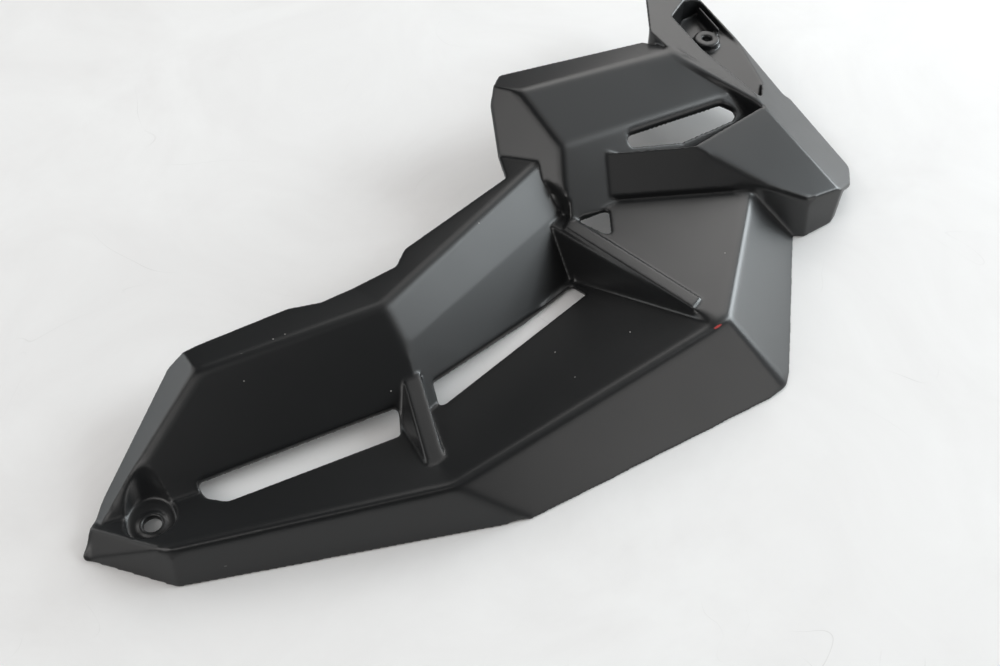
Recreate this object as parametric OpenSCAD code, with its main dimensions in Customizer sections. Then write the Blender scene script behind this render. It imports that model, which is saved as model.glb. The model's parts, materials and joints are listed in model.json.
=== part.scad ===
// Motorcycle belly pan: the right-hand side panel, one moulding with an even wall.
// X runs forward along the level part of the hem, Y runs up the side of the bike and Z points outward.
// The panel lies outer face up, on its hem, its tail and its front lobe. Every length is in millimetres.
//
// The outer face is a set of flat facets. Each facet is a plane through three named corners, and the same
// planes, set in by the wall, make the hollow behind it.

/* [Wall] */
// Thickness of the moulded wall
wall = 2.8; // [2:0.1:3.6]

/* [Hem and skirt] */
// Tip of the tail
tail_tip = [-221.5, -50, 0]; // [-260:0.5:260]
// Rear end of the hem
hem_rear = [-191, -83, 0]; // [-260:0.5:260]
// Place where the hem turns level
hem_bend = [-46, -129, 0]; // [-260:0.5:260]
// Front corner of the hem, before it is rounded
hem_front = [98, -129, 0]; // [-260:0.5:260]
// Rear end of the ridge that tops the skirt
ridge_rear = [-188.5, -75.5, 19]; // [-260:0.5:260]
// Ridge beside the bend of the hem
ridge_bend = [-74, -110, 24]; // [-260:0.5:260]
// Front end of the ridge
ridge_front = [76.5, -100, 36.5]; // [-260:0.5:260]

/* [Lower face] */
// Start of the ridge at the tail
tail_fold = [-207.5, -50.5, 11.5]; // [-260:0.5:260]
// Lower face at the near edge of the rear slot
rear_slot_lip = [-76.5, -64, 8]; // [-260:0.5:260]
// Lower face at the near edge of the middle slot
middle_slot_lip = [41.5, -36.5, 9]; // [-260:0.5:260]
// Front top corner of the lower face
front_top = [145, -31, 28]; // [-260:0.5:260]
// Lower face at its inner front corner, beside the small slot
inner_top = [82.5, 2, 22.8]; // [-260:0.5:260]
// Upper end of the step in the lower face
step_top = [49, -2.5, 23]; // [-260:0.5:260]
// Lower end of the step, near the ridge
step_end = [66, -87, 33]; // [-260:0.5:260]
// Width of the land along the top of the step
land_w = 7.5; // [4:0.5:9]
// Height of that land above the face behind it
land_rise = 1.5; // [0.5:0.5:3]
// Lean of the step from upright, in degrees
step_lean = 15; // [5:1:30]
// Share of the side wall's length that the soft front corner is wide
corner_soft = 0.3; // [0.1:0.05:0.5]
// Distance past the ridge at which the soft corner would come to a point
corner_past = 4; // [2:0.5:8]

/* [Upper walls] */
// Top corner of the crest near the tail
crest_rear = [-147.5, -11.5, 41.5]; // [-260:0.5:260]
// Bend of the crest
crest_bend = [-59.5, -18.5, 42.5]; // [-260:0.5:260]
// Front end of the crest, where the pod starts
crest_front = [49, 28.5, 41]; // [-260:0.5:260]
// Rear rim of the band that runs down to the tail
band_rim = [-169, -5, 27]; // [-260:0.5:260]
// Bottom corner of the bright facet beside the crest bend
facet_low = [-57.5, -35, 28.5]; // [-260:0.5:260]
// Front end of the fold under the bright facet
facet_front = [55.5, 13, 26.6]; // [-260:0.5:260]
// Upper wall at the far edge of the middle slot
middle_slot_top = [-7, -35, 7.5]; // [-260:0.5:260]
// Drop of the flange from the crest to its outer edge
flange_drop = 4; // [1:0.5:8]
// Width of the flange outside the crest
flange_w = 18; // [12:0.5:24]

/* [Pod] */
// Corner of the pod where its two flanges meet
pod_corner = [59, 62, 62]; // [-260:0.5:260]
// Rear rim of the pod
pod_rim = [47, 69.5, 56]; // [-260:0.5:260]
// Inner low corner of the tray
tray_low = [64, 27, 50]; // [-260:0.5:260]
// Front low corner of the tray
tray_front = [164, 27, 41]; // [-260:0.5:260]
// Top of the pod's rear facet, at the tray
pod_face = [60, 61.5, 61.7]; // [-260:0.5:260]
// Corner where the tray's rear facet meets the wall under the tray
pod_knee = [56.5, 12, 36]; // [-260:0.5:260]
// Lean of the small step between the bright facet and the pod, in degrees
knee_lean = 15; // [5:1:30]
// Foot of the wall under the tray
pod_foot = [53, -3, 22]; // [-260:0.5:260]
// Rear end of the tray's upper fold
tray_back = [161.5, 60, 52]; // [-260:0.5:260]

/* [Slots] */
// Radius of the slot corners
slot_r = 2; // [1:0.5:3]
// Corners of the rear slot
rear_slot = [[-165, -53.5], [-158, -61], [-77, -65], [-71, -52], [-166.5, -44.5]]; // [-260:0.5:260]
// Corners of the middle slot
middle_slot = [[-53, -59.5], [43, -34.5], [42, -22], [-51, -48]]; // [-260:0.5:260]
// Corners of the front slot under the tray
front_slot = [[100.5, 19], [133, 14.5], [168, 16.5], [174, 19.5], [164.5, 24.5], [104.5, 24]]; // [-260:0.5:260]
// Corners of the small slot beside the step
small_slot = [[65.5, -21], [77, -1], [58.5, 0]]; // [-260:0.5:260]

/* [Strut] */
// Crown of the strut between the two slots, at its upper end
strut_top = [-60, -44.5, 19]; // [-260:0.5:260]
// Crown of the strut at its lower end
strut_end = [-72.5, -93, 18]; // [-260:0.5:260]
// Width of the crown
strut_w = 8.5; // [6:0.5:12]
// Foot of the strut's rear flank
strut_foot = [-74.5, -67, 8]; // [-260:0.5:260]

/* [Tail seat] */
// Centre of the screw seat at the tail
seat_at = [-190, -53, 7.5]; // [-260:0.5:260]
// Radius of the recess
seat_r = 11; // [9:0.5:12]
// Radius of the raised ring round the screw hole
ring_r = 6; // [5:0.5:8]
// Height of that ring
ring_h = 1; // [0.5:0.5:2]
// Radius of the screw hole
screw_r = 4; // [2.5:0.5:4.5]
// Lean of the tool relief above the seat, in degrees
relief_lean = 34; // [30:1:50]

/* [Louver] */
// Start of the louver lip at the wall under the tray
louver_start = [87, 19.5, 40]; // [-260:0.5:260]
// Corner of the louver lip
louver_peak = [127.5, -2, 44]; // [-260:0.5:260]
// Lip of the louver beside the rail
louver_rail = [177.5, 9.5, 39]; // [-260:0.5:260]
// Start of the lower lip
lip_start = [80.5, 3.5, 25.8]; // [-260:0.5:260]
// Lower lip of the louver at its front end
lip_front = [144, -30.5, 31]; // [-260:0.5:260]
// Fold of the louver above the lobe
lobe_fold = [168.5, -49.5, 25.5]; // [-260:0.5:260]
// End of that fold at the outer wall
lobe_edge = [189, -55, 21.5]; // [-260:0.5:260]
// Bottom corner of the lobe beside the side wall
lobe_corner = [169, -52.5, 0]; // [-260:0.5:260]
// Bottom corner of the lobe in front
lobe_low = [187, -51.5, 0]; // [-260:0.5:260]

/* [Front arm] */
// Rail where it meets the louver and the outer wall
rail_foot = [182.5, 11.5, 39]; // [-260:0.5:260]
// Rail at the corner of the tray
rail_top = [156.5, 53.5, 51.5]; // [-260:0.5:260]
// Rim of the arm at its outer side
arm_rim = [215.5, 76, 36]; // [-260:0.5:260]
// Inner side of the neck
neck_low = [153.5, 78, 51]; // [-260:0.5:260]
// Rear corners of the tab under the neck
tab = [[178, 92], [195, 104.5], [195, 127], [174, 127], [171.5, 120], [174, 115.5]]; // [0:0.5:260]
// Height of the tab's upper face
tab_top = 38; // [34:0.5:40]
// Ends of the rib in the pocket
rib_start = [205.5, 79, 30]; // [0:0.5:260]
rib_end = [208.5, 103, 30]; // [0:0.5:260]
// Thickness of that rib
rib_w = 1.6; // [1:0.1:2.4]
// Height of that rib
rib_h = 7; // [3:0.5:9]
// Low corner of the arm above the lobe
arm_corner = [216, 29, 20]; // [-260:0.5:260]
// Far end of the arm
arm_end = 129; // [112:1:140]
// Inner side of the pocket's mouth
pocket = [[186.5, 17], [212, 45], [212.5, 74], [210, 106], [197, 104], [178, 90], [177.5, 60]]; // [0:0.5:260]
// Radius of the pocket's corners
pocket_r = 3; // [1:0.5:5]
// Centre of the fixing boss in the pocket
boss_at = [196.5, 79, 30]; // [0:0.5:260]
// Height of the boss above the pocket's floor
boss_h = 4; // [1:0.5:8]
// Radius of the boss
boss_r = 7.5; // [5:0.5:9]
// Radius of its screw bore
bore_r = 2.5; // [1.5:0.1:3]
// Height of the lower edge of the arm's side at the arm's far end
side_hem = 32; // [10:1:30]

/* [Hidden] */

big = 1200;
deep = 100;
overlap = 24;
fan_steps = 5;
arc_steps = 4;

// Plan corners of the rim, each with the radius of its corner
outline = [
    [-221.5, -50, 1], [-195.5, -89, 1], [-45.5, -141, 1], [104.5, -141, 1], [167.5, -55, 4],
    [186.5, -52, 6], [207.5, -41, 8], [221.5, -26, 8], [219.5, 27, 1.5], [216, 29, 1.5], [216, 76, 4],
    [208.5, 129, 10], [181, 129, 8], [172, 108.5, 2], [153.5, 78, 2], [60.5, 84, 4], [47.5, 70, 2],
    [33.5, 30, 2], [-33.5, 12, 2], [-42.5, 3, 3], [-82.5, 1, 3], [-97.5, 6, 3], [-141.5, 6, 5],
    [-157, 4, 5], [-204.5, -31.5, 3]
];

// Unit normal of the plane through three corners, pointing outward
function facing(a, b, c) =
    let (n = cross(b - a, c - a))
    n * sign(n[2]) / norm(n);

// Vector v turned about the unit axis k
function turned(v, k, angle) =
    v * cos(angle) + cross(k, v) * sin(angle) + k * (k * v) * (1 - cos(angle));

function flat(p) = [p[0], p[1]];

// Outline with round corners, counted against the clock; grow moves it outward
function rounded(c, r = 0, grow = 0) =
    [for (i = [0:len(c) - 1])
        let (
            q = flat(c[i]),
            u = flat(c[(i + len(c) - 1) % len(c)]) - q,
            v = flat(c[(i + 1) % len(c)]) - q,
            w = cross(v, u) > 0 ? 1 : -1,
            half = acos(u * v / norm(u) / norm(v)) / 2,
            mid = u / norm(u) + v / norm(v),
            size = r > 0 ? r : c[i][2],
            m = q + mid / norm(mid) * size / sin(half),
            start = atan2(u[1], u[0]) + 90 * w
        )
        for (k = [0:arc_steps])
            let (angle = start + w * (180 - 2 * half) * k / arc_steps)
            m + (size + w * grow) * [cos(angle), sin(angle)]
    ];

// Everything behind the plane through a with the unit normal n, set in by inset
module behind(n, a, inset = 0) {
    translate(n * (n * a - inset))
    rotate([0, acos(n[2]), atan2(n[1], n[0])])
    translate([-big / 2, -big / 2, -big])
    cube(big);
}

// Everything under the plane through three corners, set in by inset
module under(a, b, c, inset = 0) {
    behind(facing(a, b, c), a, inset);
}

// Everything to the right of the plane from a to b, leaned back by lean degrees
module beside(a, b, inset = 0, lean = 0) {
    d = flat(b) - flat(a);
    side = [-d[1], d[0], 0] / norm(d);
    behind(side * cos(lean) + [0, 0, sin(lean)], a, inset);
}

module front_corner(t) {
    skirt = facing(hem_bend, hem_front, ridge_front);
    side = facing(ridge_front, hem_front, front_top);
    intersection_for (i = [1:fan_steps])
        corner_plane(skirt, side, i, t);
}

// One of the planes that blend the skirt into the side wall, all touching a cone
module corner_plane(n1, n2, i, t) {
    across = cross(n1, n2);
    edge = across / norm(across) * sign(across[2]);
    out = (n1 + n2) / norm(n1 + n2);
    aim = -edge - corner_soft * out;
    k = aim / norm(aim);
    p1 = n1 - k * (k * n1);
    p2 = n2 - k * (k * n2);
    whole = acos(p1 * p2 / norm(p1) / norm(p2));
    way = sign(cross(p1, p2) * k);
    behind(turned(n1, k, way * whole * i / (fan_steps + 1)), ridge_front + edge * corner_past, t);
}

module lower_body(t) {
    intersection() {
        under(tail_tip, hem_rear, ridge_rear, t);
        under(tail_tip, tail_fold, ridge_rear, t);
        under(hem_rear, hem_bend, ridge_bend, t);
        under(hem_bend, hem_front, ridge_front, t);
        under(ridge_front, hem_front, front_top, t);
        front_corner(t);
        union() {
            under(ridge_rear, rear_slot_lip, ridge_bend, t);
            under(ridge_bend, middle_slot_lip, ridge_front, t);
            intersection() {
                under(ridge_front, front_top, inner_top, t);
                beside(step_end, step_top, t, step_lean);
            }
        }
    }
}

module upper_body(t) {
    intersection() {
        under(tail_fold, crest_rear, band_rim, t);
        union() {
            under(crest_rear, crest_bend, crest_rear + [6, flange_w, -flange_drop], t);
            under(crest_bend, crest_front, crest_bend + [-7, flange_w, -flange_drop], t);
        }
        under(crest_rear, crest_bend, facet_low, t);
        under(crest_bend, crest_front, facet_low, t);
        under(facet_low, facet_front, middle_slot_top, t);
        beside(crest_front + [overlap, 0, 0], pod_foot + [overlap, 0, 0], t);
    }
}

// The pod: a tray with its own flanges and a wall below it
module pod_body(t) {
    intersection() {
        under(crest_front, pod_corner, pod_rim, t);
        under(pod_corner, tray_back, pod_corner + [0, flange_w, -flange_drop], t);
        under(pod_face, tray_low, pod_knee, t);
        under(pod_corner, tray_low, tray_front, t);
        under(tray_low, tray_front, pod_foot, t);
        beside(rail_top + [overlap / 3, 0, 0], rail_foot + [overlap / 3, 0, 0], t);
        union() {
            beside(crest_front, crest_front - [overlap, 0, 0], t);
            beside(pod_knee, crest_front, t, knee_lean);
            beside(pod_foot, pod_knee, t, knee_lean);
        }
    }
}

// The front end: the louver blade that runs out to the lobe, and the arm above it
module front_body(t) {
    intersection() {
        under(louver_peak, louver_rail, lobe_fold, t);
        under(louver_peak, lip_start, lip_front, t);
        under(lobe_fold, lobe_corner, lobe_low, t);
        under(rail_foot, lobe_edge, arm_corner, t);
        union() {
            beside(lip_front, lip_start, t);
            under(lip_front, lobe_fold, lobe_corner, t);
        }
        union() {
            beside(louver_start, louver_peak, t);
            beside(louver_peak, louver_rail, t);
            intersection() {
                under(rail_top, rail_foot, arm_rim, t);
                beside(rail_foot, rail_top, t);
                beside(rail_top, neck_low, t);
            }
        }
    }
}

// Plate in plan from the height low up to the height high
module prism(points, low, high) {
    translate([0, 0, low])
    linear_extrude(high - low)
    polygon(points);
}

// Hollows sunk into the outer face; grow leaves room for their walls
module hollows(grow) {
    translate(seat_at - [0, 0, grow]) {
        cylinder(h = deep, r = seat_r + grow, $fn = 48);
        intersection() {
            rotate([-relief_lean, 0, -12])
            cylinder(h = deep, r = seat_r + grow, center = true, $fn = 48);
            cylinder(h = deep, r = deep, $fn = 48);
        }
    }
    prism(rounded(pocket, pocket_r, grow), boss_at[2] - grow, deep);
}

module form(t) {
    difference() {
        union() {
            lower_body(t);
            upper_body(t);
            pod_body(t);
            front_body(t);
        }
        hollows(t);
    }
}

// Land along the top of the step
module step_land() {
    n = facing(ridge_front, front_top, inner_top);
    intersection() {
        behind(n, ridge_front, -land_rise);
        prism([
            flat(step_top), flat(step_end), flat(step_end) + land_w * [1, 0.5], flat(step_top) + land_w * [1, 0.8]
        ], 0, deep);
    }
}

// Strut that ties the two faces together between the slots, with a sloping rear flank
module strut() {
    d = (flat(strut_end) - flat(strut_top)) / norm(flat(strut_end) - flat(strut_top));
    across = [-d[1], d[0]] * strut_w / 2;
    near_top = flat(strut_top) + across;
    near_end = flat(strut_end) + across;
    rear_top = strut_top - [across[0], across[1], 0];
    rear_end = strut_end - [across[0], across[1], 0];
    intersection() {
        prism([near_top, near_top - 4 * across, near_end - 4 * across, near_end], 0, strut_top[2]);
        under(strut_top, strut_end, rear_end);
        under(rear_top, rear_end, strut_foot);
    }
}

// Boss with a screw bore in the pocket
module boss() {
    translate(boss_at - [0, 0, wall])
    cylinder(h = wall + boss_h, r = boss_r, $fn = 48);
}

// Rib along the outer wall of the pocket, and the tab under the neck
module arm_details() {
    d = flat(rib_end) - flat(rib_start);
    w = [-d[1], d[0]] / norm(d) * rib_w;
    corners = [flat(rib_start), flat(rib_end), flat(rib_end) + w, flat(rib_start) + w];
    prism(corners, rib_start[2] - wall, rib_start[2] + rib_h);
    prism(rounded(tab, slot_r / 2), tab_top - wall, tab_top);
}

module ring() {
    translate(seat_at - [0, 0, wall])
    cylinder(h = wall + ring_h, r = ring_r, $fn = 48);
}

module bores() {
    translate(flat(seat_at))
    cylinder(h = deep, r = screw_r, center = true, $fn = 48);
    translate(flat(boss_at))
    cylinder(h = deep, r = bore_r, center = true, $fn = 48);
}

// Clears the arm's side below its lower edge, which climbs from the lobe to the arm's far end
module under_side() {
    translate([neck_low[0], 0, 0])
    rotate([90, 0, 90])
    linear_extrude(deep)
    polygon([[lobe_edge[1] + overlap, -1], [arm_end + 1, side_hem], [arm_end + 1, -1]]);
}

module slots() {
    for (s = [rear_slot, middle_slot, front_slot, small_slot])
        prism(rounded(s, slot_r), -1, deep);
}

module belly_pan() {
    color("#26282a")
    intersection() {
        difference() {
            union() {
                form(0);
                step_land();
                strut();
                ring();
                boss();
                arm_details();
            }
            under_side();
            form(wall);
            slots();
            bores();
        }
        prism(rounded(outline), 0, deep);
    }
}

belly_pan();
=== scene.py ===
# %% [markdown]
# Motorcycle belly pan, dressed for the camera.
#
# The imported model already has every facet, slot and screw seat at its true size. A real moulding
# differs from it in two ways: its folds are softly rounded, and its plastic has a fine grain with a
# satin gloss. This lesson makes a softened copy of the shell and paints it with a node material.

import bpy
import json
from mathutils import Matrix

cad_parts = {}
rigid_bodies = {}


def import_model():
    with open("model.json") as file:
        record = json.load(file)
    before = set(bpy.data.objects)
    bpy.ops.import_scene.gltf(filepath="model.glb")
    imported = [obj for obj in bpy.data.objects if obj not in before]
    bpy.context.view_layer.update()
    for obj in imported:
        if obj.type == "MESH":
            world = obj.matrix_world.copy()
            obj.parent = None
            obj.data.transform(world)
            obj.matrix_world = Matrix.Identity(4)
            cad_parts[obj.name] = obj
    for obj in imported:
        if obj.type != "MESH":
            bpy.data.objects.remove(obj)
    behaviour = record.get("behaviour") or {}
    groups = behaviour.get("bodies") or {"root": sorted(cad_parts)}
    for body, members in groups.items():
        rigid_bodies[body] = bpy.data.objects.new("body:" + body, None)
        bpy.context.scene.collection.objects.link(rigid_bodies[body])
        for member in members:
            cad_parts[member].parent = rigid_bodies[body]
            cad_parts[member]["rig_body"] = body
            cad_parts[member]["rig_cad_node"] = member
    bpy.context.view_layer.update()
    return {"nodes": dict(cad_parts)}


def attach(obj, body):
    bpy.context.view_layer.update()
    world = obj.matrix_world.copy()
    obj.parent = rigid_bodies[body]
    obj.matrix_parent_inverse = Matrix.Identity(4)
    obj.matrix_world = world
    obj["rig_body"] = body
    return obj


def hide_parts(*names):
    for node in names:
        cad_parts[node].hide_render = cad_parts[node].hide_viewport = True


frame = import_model()

import json
from math import cos, radians, sin

import bpy
import numpy
from mathutils import Matrix, Vector

MM = 0.001
pan_cad = frame["nodes"]["belly_pan"]


# %% Helpers for selecting
def select_only(thing):
    """Leaves one object selected and active, because an operator acts on all that is selected."""
    bpy.ops.object.select_all(action="DESELECT")
    thing.select_set(True)
    bpy.context.view_layer.objects.active = thing


def apply_modifier(thing, name, kind, **settings):
    """Adds a modifier, sets it and applies it."""
    select_only(thing)
    modifier = thing.modifiers.new(name, kind)
    for key, value in settings.items():
        setattr(modifier, key, value)
    bpy.ops.object.modifier_apply(modifier=name)
    print(name, "->", len(thing.data.polygons), "faces")


# %% [markdown]
# The shell. A bevel on every fold could be used, but more than twenty folds of different length
# meet in this part, and the shortest of them would limit the width of all. So the copy is remeshed
# into small even faces instead, and then smoothed. That rounds each fold and each rim by the same
# small radius, as the cutter of a real mould does. The grid of the remesh is turned away from the
# slots first, because a rim that runs nearly along the grid comes out with long steps in it.

# %% Copy the shell and merge its doubles
MERGE_DISTANCE = 0.001 * MM
pan = pan_cad.copy()
pan.data = pan_cad.data.copy()
pan.name = "belly_pan_shell"
pan.parent = None
bpy.context.scene.collection.objects.link(pan)
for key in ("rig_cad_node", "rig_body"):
    if key in pan:
        del pan[key]

select_only(pan)
bpy.ops.object.mode_set(mode="EDIT")
bpy.ops.mesh.select_all(action="SELECT")
bpy.ops.mesh.remove_doubles(threshold=MERGE_DISTANCE)
bpy.ops.object.mode_set(mode="OBJECT")
print("copy:", len(pan.data.vertices), "vertices")

# %% Remesh the copy on a turned grid
GRID = 0.55 * MM
TURN_X, TURN_Z = radians(27), radians(38)
RIM_PASSES = 24
grid_turn = Matrix.Rotation(TURN_X, 4, "X") @ Matrix.Rotation(TURN_Z, 4, "Z")
pan.data.transform(grid_turn)
apply_modifier(pan, "even faces", "REMESH", mode="VOXEL", voxel_size=GRID, adaptivity=0.0)
apply_modifier(pan, "soft rims", "SMOOTH", factor=0.5, iterations=RIM_PASSES)
pan.data.transform(grid_turn.inverted())

# %% [markdown]
# The long folds of the moulding are rounder than its rims. Each is given here by its two ends and
# by how far its rounding reaches, in millimetres. Only the vertices near a fold are smoothed again.

# %% Where the long folds run, in millimetres
RIDGE_REAR, RIDGE_BEND, RIDGE_FRONT = (-188.5, -75.5, 19), (-74, -110, 24), (76.5, -100, 36.5)
CREST_REAR, CREST_BEND, CREST_FRONT = (-147.5, -11.5, 41.5), (-59.5, -18.5, 42.5), (49, 28.5, 41)
TRAY_TOP, TRAY_CORNER = (60, 61.5, 61.7), (64, 27, 50)
FOLDS = (
    (RIDGE_REAR, RIDGE_BEND, 6), (RIDGE_BEND, RIDGE_FRONT, 14), (RIDGE_BEND, (-50, -126, 4), 7),
    (RIDGE_FRONT, (98, -129, 0), 10), (RIDGE_FRONT, (145, -31, 28), 10),
    (CREST_REAR, CREST_BEND, 4), (CREST_BEND, CREST_FRONT, 4), (CREST_REAR, (-200, -42, 15.5), 5),
    (CREST_BEND, (-57.5, -35, 28.5), 5), (CREST_BEND, (55.5, 13, 26.6), 5),
    (TRAY_TOP, (161.5, 60, 52), 5), (TRAY_CORNER, (164, 27, 41), 6),
    (TRAY_TOP, TRAY_CORNER, 5), (TRAY_CORNER, (56.5, 12, 36), 5),
    ((135.7, -11.5, 40.3), (168.5, -49.5, 25.5), 5), ((182.5, 11.5, 39), (156.5, 53.5, 51.5), 3),
)
print("folds to round:", len(FOLDS))

# %% Round the long folds
FALLING_SHARE = 0.5
STEPS = 4
FOLD_PASSES = 140


def closeness(points, start, end, reach):
    """One near the line between two points, falling to nought over the last share of its reach."""
    run = numpy.subtract(end, start)
    share = numpy.clip((points - start) @ run / (run @ run), 0, 1)
    gap = numpy.linalg.norm(points - start - share[:, None] * run, axis=1)
    return numpy.clip((reach - gap) / (FALLING_SHARE * reach), 0, 1)


flat = numpy.empty(3 * len(pan.data.vertices))
pan.data.vertices.foreach_get("co", flat)
points = flat.reshape(-1, 3) / MM
softness = numpy.zeros(len(points))
for fold in FOLDS:
    softness = numpy.maximum(softness, closeness(points, *fold))
near_folds = pan.vertex_groups.new(name="near_folds")
for step in range(1, STEPS + 1):
    chosen = numpy.nonzero(numpy.round(softness * STEPS) == step)[0]
    near_folds.add(chosen.tolist(), step / STEPS, "REPLACE")
apply_modifier(pan, "round folds", "SMOOTH", factor=0.5, iterations=FOLD_PASSES,
               vertex_group="near_folds")
pan.vertex_groups.clear()

# %% Thin out the flat places
FACE_LIMIT = 190000
triangles = 2 * len(pan.data.polygons)
apply_modifier(pan, "thinner", "DECIMATE", decimate_type="COLLAPSE",
               ratio=min(1.0, FACE_LIMIT / triangles))
select_only(pan)
bpy.ops.object.shade_smooth()

# %% [markdown]
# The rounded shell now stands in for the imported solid. It rides on the same body, because the part
# is one moulding without joints, and it takes over the solid's material slot.

# %% Hand the shell to the frame
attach(pan, "root")
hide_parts("belly_pan")

# %% [markdown]
# The plastic. It is black and grained, with a satin gloss: the colour hardly changes, and what the
# eye reads is the soft reflection of the room. Two scales of noise give the grain, a third one
# makes the gloss uneven, and raised edges are painted a little lighter than the faces: partly wear,
# partly a painted highlight along the rounded folds and rims. A picture of a grain could be used,
# but it would need unwrapped faces, while noise follows the shell by itself.

# %% Helpers for nodes
def node(tree, kind, place, **settings):
    """Adds a node, sets its properties and input values, and returns it."""
    made = tree.nodes.new(kind)
    made.location = place
    for key, value in settings.items():
        if key in made.inputs:
            made.inputs[key].default_value = value
        else:
            setattr(made, key, value)
    return made


def wire(tree, source, output, target, entry):
    """Joins one node's output to another node's input, each given by its name or number."""
    tree.links.new(source.outputs[output], target.inputs[entry])


def spread(tree, place, low, high, kind="LINEAR", top=1.0):
    """A node that turns the range from low to high into the range from nought to top."""
    made = node(tree, "ShaderNodeMapRange", place, interpolation_type=kind)
    made.inputs["From Min"].default_value = low
    made.inputs["From Max"].default_value = high
    made.inputs["To Max"].default_value = top
    return made


def blend(tree, place, first, second):
    """A node that mixes two colours; a colour of None is wired later."""
    made = node(tree, "ShaderNodeMix", place, data_type="RGBA")
    for entry, colour in ((6, first), (7, second)):
        if colour is not None:
            made.inputs[entry].default_value = colour
    return made


def new_group(name, result, numbers=(), vectors=()):
    """Starts a node group with named inputs and one named output."""
    group = bpy.data.node_groups.new(name, "ShaderNodeTree")
    for entry in vectors:
        group.interface.new_socket(entry, in_out="INPUT", socket_type="NodeSocketVector")
    for entry, default in numbers:
        socket = group.interface.new_socket(entry, in_out="INPUT", socket_type="NodeSocketFloat")
        socket.default_value = default
    group.interface.new_socket(result, in_out="OUTPUT", socket_type="NodeSocketFloat")
    return group


# %% Grain, as a group that any plastic can use
def grain_group():
    """Height of a fine moulded grain, in the range from nought to one."""
    group = new_group("moulded_grain", "Height", numbers=(
        ("Fine scale", 2600.0), ("Coarse scale", 900.0), ("Share of coarse", 0.4)))
    start = node(group, "NodeGroupInput", (-700, 0))
    end = node(group, "NodeGroupOutput", (500, 0))
    place = node(group, "ShaderNodeTexCoord", (-700, -200))
    fine = node(group, "ShaderNodeTexNoise", (-400, 150), Detail=2.0, Roughness=0.6)
    coarse = node(group, "ShaderNodeTexVoronoi", (-400, -150), feature="F1")
    mixed = node(group, "ShaderNodeMix", (200, 0), data_type="FLOAT")
    wire(group, place, "Object", fine, "Vector")
    wire(group, place, "Object", coarse, "Vector")
    wire(group, start, "Fine scale", fine, "Scale")
    wire(group, start, "Coarse scale", coarse, "Scale")
    wire(group, start, "Share of coarse", mixed, 0)
    wire(group, fine, "Fac", mixed, 2)
    wire(group, coarse, "Distance", mixed, 3)
    wire(group, mixed, 0, end, "Height")
    return group


# %% Edge wear and painted highlight, as a group
def wear_and_highlight_group():
    """Mask of raised edges, broken up by noise: partly wear, partly a painted highlight."""
    group = new_group("edge_wear_and_highlight", "Mask", numbers=(
        ("Low", 0.52), ("High", 0.62), ("Noise scale", 160.0)))
    start = node(group, "NodeGroupInput", (-700, 0))
    end = node(group, "NodeGroupOutput", (600, 0))
    place = node(group, "ShaderNodeTexCoord", (-700, -250))
    form = node(group, "ShaderNodeNewGeometry", (-500, 250))
    noise = node(group, "ShaderNodeTexNoise", (-400, -150), Detail=4.0, Roughness=0.65)
    ramp = node(group, "ShaderNodeMapRange", (-50, 150), interpolation_type="SMOOTHSTEP")
    broken = node(group, "ShaderNodeMath", (300, 0), operation="MULTIPLY")
    wire(group, place, "Object", noise, "Vector")
    wire(group, start, "Noise scale", noise, "Scale")
    wire(group, form, "Pointiness", ramp, "Value")
    wire(group, start, "Low", ramp, "From Min")
    wire(group, start, "High", ramp, "From Max")
    wire(group, ramp, "Result", broken, 0)
    wire(group, noise, "Fac", broken, 1)
    wire(group, broken, "Value", end, "Mask")
    return group


# %% One small mark, as a group
SOLID_SHARE = 0.6  # of its half sizes, inside which a mark is at full strength


def mark_group():
    """Mask of one long or round mark, from its middle, its direction and its two half sizes."""
    group = new_group("surface_mark", "Mask", vectors=("Middle", "Along"), numbers=(
        ("Half length", MM), ("Half width", MM)))
    start = node(group, "NodeGroupInput", (-900, 0))
    end = node(group, "NodeGroupOutput", (900, 0))
    place = node(group, "ShaderNodeTexCoord", (-900, -250))
    offset = node(group, "ShaderNodeVectorMath", (-700, 0), operation="SUBTRACT")
    along = node(group, "ShaderNodeVectorMath", (-500, 150), operation="DOT_PRODUCT")
    foot = node(group, "ShaderNodeVectorMath", (-300, 50), operation="SCALE")
    across = node(group, "ShaderNodeVectorMath", (-100, -50), operation="DISTANCE")
    long_share = node(group, "ShaderNodeMath", (100, 150), operation="DIVIDE")
    wide_share = node(group, "ShaderNodeMath", (100, -50), operation="DIVIDE")
    both = node(group, "ShaderNodeCombineXYZ", (300, 50))
    reach = node(group, "ShaderNodeVectorMath", (500, 50), operation="LENGTH")
    edge = spread(group, (700, 50), 1.0, SOLID_SHARE, "SMOOTHSTEP")
    wire(group, place, "Object", offset, 0)
    wire(group, start, "Middle", offset, 1)
    wire(group, offset, "Vector", along, 0)
    wire(group, start, "Along", along, 1)
    wire(group, start, "Along", foot, 0)
    wire(group, along, "Value", foot, "Scale")
    wire(group, offset, "Vector", across, 0)
    wire(group, foot, "Vector", across, 1)
    wire(group, along, "Value", long_share, 0)
    wire(group, start, "Half length", long_share, 1)
    wire(group, across, "Value", wide_share, 0)
    wire(group, start, "Half width", wide_share, 1)
    wire(group, long_share, "Value", both, "X")
    wire(group, wide_share, "Value", both, "Y")
    wire(group, both, "Vector", reach, 0)
    wire(group, reach, "Value", edge, "Value")
    wire(group, edge, "Result", end, "Mask")
    return group


# %% The black plastic
PLASTIC_DARK = (0.0105, 0.0110, 0.0116, 1)
# Lighter tone of raised edges: partly wear, partly a painted highlight along the rounded folds and
# rims.
PLASTIC_WORN_AND_HIGHLIGHT = (0.055, 0.056, 0.057, 1)
PLASTIC_IOR = 1.52
GLOSSIEST, DULLEST = 0.28, 0.36
GRAIN_STRENGTH, GRAIN_HEIGHT = 0.35, 0.03 * MM

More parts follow.
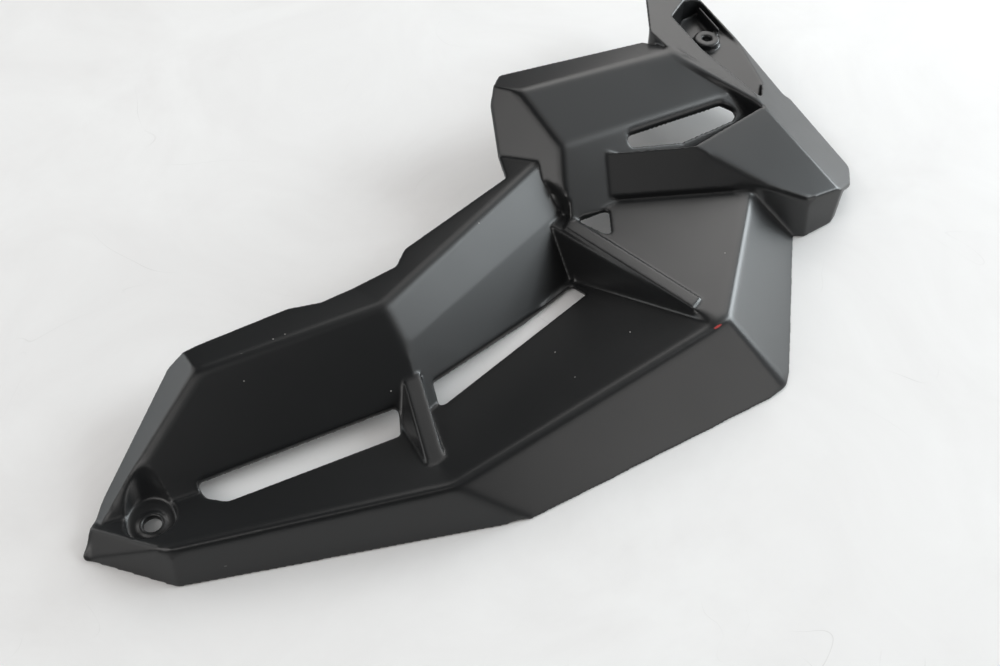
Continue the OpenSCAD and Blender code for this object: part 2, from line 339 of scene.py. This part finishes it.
plastic = bpy.data.materials.new("grained_black_plastic")
plastic.use_nodes = True
tree = plastic.node_tree
tree.nodes.clear()
out = node(tree, "ShaderNodeOutputMaterial", (900, 0))
shader = node(tree, "ShaderNodeBsdfPrincipled", (600, 0))
shader.inputs["IOR"].default_value = PLASTIC_IOR
shader.inputs["Specular IOR Level"].default_value = 0.5
wire(tree, shader, "BSDF", out, "Surface")

grain = node(tree, "ShaderNodeGroup", (-300, -300), node_tree=grain_group())
wear_and_highlight = node(tree, "ShaderNodeGroup", (-300, 300), node_tree=wear_and_highlight_group())
place = node(tree, "ShaderNodeTexCoord", (-900, 0))

# The edge mask paints raised edges lighter, partly as wear and partly as a painted highlight.
tone = blend(tree, (100, 300), PLASTIC_DARK, PLASTIC_WORN_AND_HIGHLIGHT)
wire(tree, wear_and_highlight, "Mask", tone, 0)

cloud = node(tree, "ShaderNodeTexNoise", (-600, 0), Scale=22.0, Detail=5.0, Roughness=0.6)
wire(tree, place, "Object", cloud, "Vector")
gloss = node(tree, "ShaderNodeMapRange", (-300, 0))
gloss.inputs["To Min"].default_value = GLOSSIEST
gloss.inputs["To Max"].default_value = DULLEST
wire(tree, cloud, "Fac", gloss, "Value")

bump = node(tree, "ShaderNodeBump", (300, -300), Strength=GRAIN_STRENGTH, Distance=GRAIN_HEIGHT)
wire(tree, grain, "Height", bump, "Height")
wire(tree, bump, "Normal", shader, "Normal")
print("plastic:", len(tree.nodes), "nodes before its marks")

# %% [markdown]
# Marks of use. The photograph shows a few specks of dust, one short red smear on the ridge, a scuff
# on the rear wall and a scratch at the tail. Each is a mask around a point of the shell, given in
# millimetres of the shared frame, so it stays where it belongs when the part is turned.

# %% Where the marks are
ACROSS = (1, 0, 0)
DUST = (0.42, 0.41, 0.39, 1)
RED_PAINT = (0.42, 0.035, 0.03, 1)
SCUFFED = (0.16, 0.16, 0.155, 1)
MARKS = {
    "dust": (DUST, (
        ((39.4, -76.5, 23.7), ACROSS, 0.42, 0.42), ((6.3, -63.5, 15.3), ACROSS, 0.40, 0.40),
        ((2.8, -85.9, 23.3), ACROSS, 0.34, 0.34), ((103.3, -63.1, 31.8), ACROSS, 0.36, 0.36),
        ((5.6, 7.7, 40.0), ACROSS, 0.38, 0.38), ((-111.1, -11.3, 41.2), ACROSS, 0.36, 0.36),
        ((-105.3, -11.3, 41.2), ACROSS, 0.32, 0.32), ((-71.7, -46.8, 17.2), ACROSS, 0.38, 0.38),
        ((-130.4, -21.5, 34.3), ACROSS, 0.34, 0.34),
    )),
    "red smear": (RED_PAINT, (((70.1, -101.3, 34.9), (0.997, 0.05, 0.06), 3.0, 0.8),)),
    "scuff": (SCUFFED, (
        ((-126.1, -12.3, 41.5), (0.79, -0.57, 0.13), 1.6, 0.45),
        ((-170.1, -87.0, 6.4), (0.8, -0.6, 0.0), 3.2, 0.25),
    )),
}


# %% Paint the marks
def larger_of(first, second):
    """Greater of two masks, where the first may be missing."""
    if first is None:
        return second
    joined = node(tree, "ShaderNodeMath", (-600, 700), operation="MAXIMUM")
    tree.links.new(first, joined.inputs[0])
    tree.links.new(second, joined.inputs[1])
    return joined.outputs["Value"]


DULL_ROUGHNESS = 0.75
marks = mark_group()
colour = tone
rubbed = None
for name, (paint, places) in MARKS.items():
    total = None
    for middle, along, half_length, half_width in places:
        spot = node(tree, "ShaderNodeGroup", (-900, 700), node_tree=marks)
        spot.inputs["Middle"].default_value = [MM * value for value in middle]
        spot.inputs["Along"].default_value = along
        spot.inputs["Half length"].default_value = MM * half_length
        spot.inputs["Half width"].default_value = MM * half_width
        total = larger_of(total, spot.outputs["Mask"])
    painted = blend(tree, (350, 300), None, paint)
    tree.links.new(total, painted.inputs[0])
    wire(tree, colour, 2, painted, 6)
    colour = painted
    rubbed = larger_of(rubbed, total)
    print(name, "->", len(places), "marks")
wire(tree, colour, 2, shader, "Base Color")

dull = node(tree, "ShaderNodeMix", (350, 50), data_type="FLOAT")
dull.inputs[3].default_value = DULL_ROUGHNESS
tree.links.new(rubbed, dull.inputs[0])
wire(tree, gloss, "Result", dull, 2)
wire(tree, dull, 0, shader, "Roughness")

# %% Put the plastic on both shells
for shell in (pan, pan_cad):
    shell.data.materials.clear()
    shell.data.materials.append(plastic)
print("plastic:", len(tree.nodes), "nodes in all")

# %% [markdown]
# The table. The panel lies on a pale plate with faint clouds and a few hair scratches. The clouds
# are one noise. The scratches are the thin places where a second noise crosses its own middle
# value, kept only inside the patches that a third one gives.

# %% Table and its clouds
FLOOR_SIZE = 6.0
FLOOR_DROP = 0.2 * MM
STONE_PALE = (0.92, 0.915, 0.91, 1)
STONE_VEIN = (0.87, 0.86, 0.855, 1)
bpy.ops.object.select_all(action="DESELECT")
bpy.ops.mesh.primitive_plane_add(size=FLOOR_SIZE, location=(0, 0, -FLOOR_DROP))
floor = bpy.context.object
floor.name = "pale_floor"
pale = bpy.data.materials.new("pale_table")
pale.use_nodes = True
table = pale.node_tree
table_shader = table.nodes["Principled BSDF"]
table_shader.inputs["Roughness"].default_value = 0.85
table_shader.inputs["Specular IOR Level"].default_value = 0.05
table_place = node(table, "ShaderNodeTexCoord", (-900, 0))
marble = node(table, "ShaderNodeTexNoise", (-700, 0),
              Scale=9.0, Detail=8.0, Roughness=0.62, Distortion=1.2)
wire(table, table_place, "Object", marble, "Vector")
veins = spread(table, (-450, 0), 0.35, 0.7)
wire(table, marble, "Fac", veins, "Value")
stone = blend(table, (-200, 0), STONE_PALE, STONE_VEIN)
wire(table, veins, "Result", stone, 0)
print("floor:", FLOOR_SIZE, "m wide")

# %% Hair scratches of the table
SCRATCHED = (0.62, 0.61, 0.60, 1)
MIDDLE_VALUE = 0.5
HAIR_WIDTH = 0.0025  # as a difference from the middle value
STRONGEST = 0.5
hair = node(table, "ShaderNodeTexNoise", (-700, -350), Scale=7.0, Detail=1.0, Distortion=2.5)
wire(table, table_place, "Object", hair, "Vector")
off_line = node(table, "ShaderNodeMath", (-500, -350), operation="SUBTRACT")
off_line.inputs[1].default_value = MIDDLE_VALUE
wire(table, hair, "Fac", off_line, 0)
off_size = node(table, "ShaderNodeMath", (-350, -350), operation="ABSOLUTE")
wire(table, off_line, "Value", off_size, 0)
thin = spread(table, (-200, -350), HAIR_WIDTH, 0.0)
wire(table, off_size, "Value", thin, "Value")
patches = node(table, "ShaderNodeTexNoise", (-700, -650), Scale=16.0, Detail=3.0)
wire(table, table_place, "Object", patches, "Vector")
few = spread(table, (-450, -650), 0.55, 0.68, top=STRONGEST)
wire(table, patches, "Fac", few, "Value")
faint = node(table, "ShaderNodeMath", (0, -450), operation="MULTIPLY")
wire(table, thin, "Result", faint, 0)
wire(table, few, "Result", faint, 1)
scratched = blend(table, (0, 0), None, SCRATCHED)
wire(table, faint, "Value", scratched, 0)
wire(table, stone, 2, scratched, 6)
wire(table, scratched, 2, table_shader, "Base Color")

# %% [markdown]
# Far from the panel the table fades into an even pale backdrop. Only the camera sees that backdrop,
# so it adds no light to the panel.

# %% Fade of the table into the backdrop
BACKDROP = (0.80, 0.80, 0.79, 1)
FADE_START, FADE_END = 0.7, 1.5
table_out = table.nodes["Material Output"]
seen = node(table, "ShaderNodeLightPath", (-200, 500))
from_middle = node(table, "ShaderNodeVectorMath", (-500, 350), operation="LENGTH")
wire(table, table_place, "Object", from_middle, 0)
fade = spread(table, (-300, 300), FADE_START, FADE_END, "SMOOTHSTEP")
wire(table, from_middle, "Value", fade, "Value")
far_and_seen = node(table, "ShaderNodeMath", (0, 400), operation="MULTIPLY")
wire(table, seen, "Is Camera Ray", far_and_seen, 0)
wire(table, fade, "Result", far_and_seen, 1)
glow = node(table, "ShaderNodeEmission", (200, -200), Color=BACKDROP, Strength=1.0)
join = node(table, "ShaderNodeMixShader", (450, 100))
wire(table, far_and_seen, "Value", join, 0)
wire(table, table_shader, "BSDF", join, 1)
wire(table, glow, "Emission", join, 2)
wire(table, join, "Shader", table_out, "Surface")
floor.data.materials.append(pale)

# %% [markdown]
# The camera stands where the photograph's camera stood, 50 degrees above the table. Angles would
# place it too, but a matrix of its side, up and backward directions says exactly what was measured.

# %% Camera, at the photograph's height and side
EYE = Vector((-0.1949, -0.36006, 0.45522))
AHEAD = Vector((0.3214, 0.5567, -0.766)).normalized()
SIDE = Vector((0.866, -0.5, 0.0)).normalized()
UP = SIDE.cross(AHEAD)
SENSOR_MM, LENS_MM = 36.0, 43.2
NEAREST = 10 * MM
lens = bpy.data.cameras.new("camera")
lens.sensor_width = SENSOR_MM
lens.lens = LENS_MM
lens.clip_start = NEAREST
camera = bpy.data.objects.new("camera", lens)
bpy.context.scene.collection.objects.link(camera)
camera.matrix_world = Matrix((
    (SIDE.x, UP.x, -AHEAD.x, EYE.x),
    (SIDE.y, UP.y, -AHEAD.y, EYE.y),
    (SIDE.z, UP.z, -AHEAD.z, EYE.z),
    (0, 0, 0, 1),
))
bpy.context.scene.camera = camera
print("camera:", round(EYE.z / MM), "mm above the table")

# %% [markdown]
# The lamps stand in for the windows of the room. Their strengths were found from the photograph:
# each facet mirrors one part of the room, so its brightness tells how bright the room is there. The
# main one is a low window to the right, beyond the panel. All of them are broad and soft.

# %% Lamps
TARGET = Vector((0.0, 0.0, 0.02))
DISTANCE = 2.0
COOL = (0.90, 0.97, 1.0)
NEUTRAL = (1.0, 0.98, 0.96)
# Name, turn from straight ahead and height in degrees, width and tallness in metres, watts, colour
LAMPS = (
    ("low_window", 60, 12, 1.1, 0.75, 25.5, COOL),
    ("window_above_it", 72, 28, 1.1, 1.0, 6.0, COOL),
    ("upper_pane", 80, 34, 0.8, 0.7, 8.0, COOL),
    ("right_wall", 120, 12, 1.1, 0.75, 5.4, NEUTRAL),
    ("right_high", 90, 46, 1.1, 1.0, 3.5, NEUTRAL),
    ("far_wall", 22, 26, 1.1, 1.2, 9.6, NEUTRAL),
    ("far_high", 0, 46, 1.1, 1.0, 4.3, NEUTRAL),
    ("left_wall", 290, 12, 1.8, 0.75, 6.0, COOL),
    ("left_high", 288, 28, 1.1, 1.0, 5.1, NEUTRAL),
    ("near_left", 240, 28, 1.1, 1.0, 5.5, NEUTRAL),
    ("near_high", 225, 46, 1.7, 1.0, 9.7, NEUTRAL),
    ("far_right_high", 45, 46, 1.1, 1.0, 2.4, COOL),
    ("ceiling", 45, 68, 1.1, 1.0, 2.0, NEUTRAL),
    ("behind_the_camera", 185, 60, 1.1, 1.0, 2.0, NEUTRAL),
)


def add_lamp(name, turn, height, wide, tall, power, colour):
    """Adds a broad lamp, placed by its turn from straight ahead of the camera and its height."""
    forward = Vector((AHEAD.x, AHEAD.y, 0)).normalized()
    level = SIDE * sin(radians(turn)) + forward * cos(radians(turn))
    direction = level * cos(radians(height)) + Vector((0, 0, sin(radians(height))))
    data = bpy.data.lights.new(name, "AREA")
    data.shape = "RECTANGLE"
    data.size = wide
    data.size_y = tall
    data.energy = power
    data.color = colour
    made = bpy.data.objects.new(name, data)
    bpy.context.scene.collection.objects.link(made)
    made.location = TARGET + direction * DISTANCE
    made.rotation_euler = direction.to_track_quat("Z", "Y").to_euler()


for row in LAMPS:
    add_lamp(*row)
print("lamps:", len(LAMPS))

# %% The room beyond the lamps
ROOM_FILL = (0.028, 0.029, 0.030, 1)
world = bpy.data.worlds.new("room")
bpy.context.scene.world = world
world.use_nodes = True
sky = world.node_tree
looked_at = node(sky, "ShaderNodeLightPath", (-500, 200))
room_colour = blend(sky, (-250, 0), ROOM_FILL, BACKDROP)
wire(sky, looked_at, "Is Camera Ray", room_colour, 0)
wire(sky, room_colour, 2, sky.nodes["Background"], "Color")

# %% Colour management and the end
bpy.context.scene.view_settings.view_transform = "Standard"
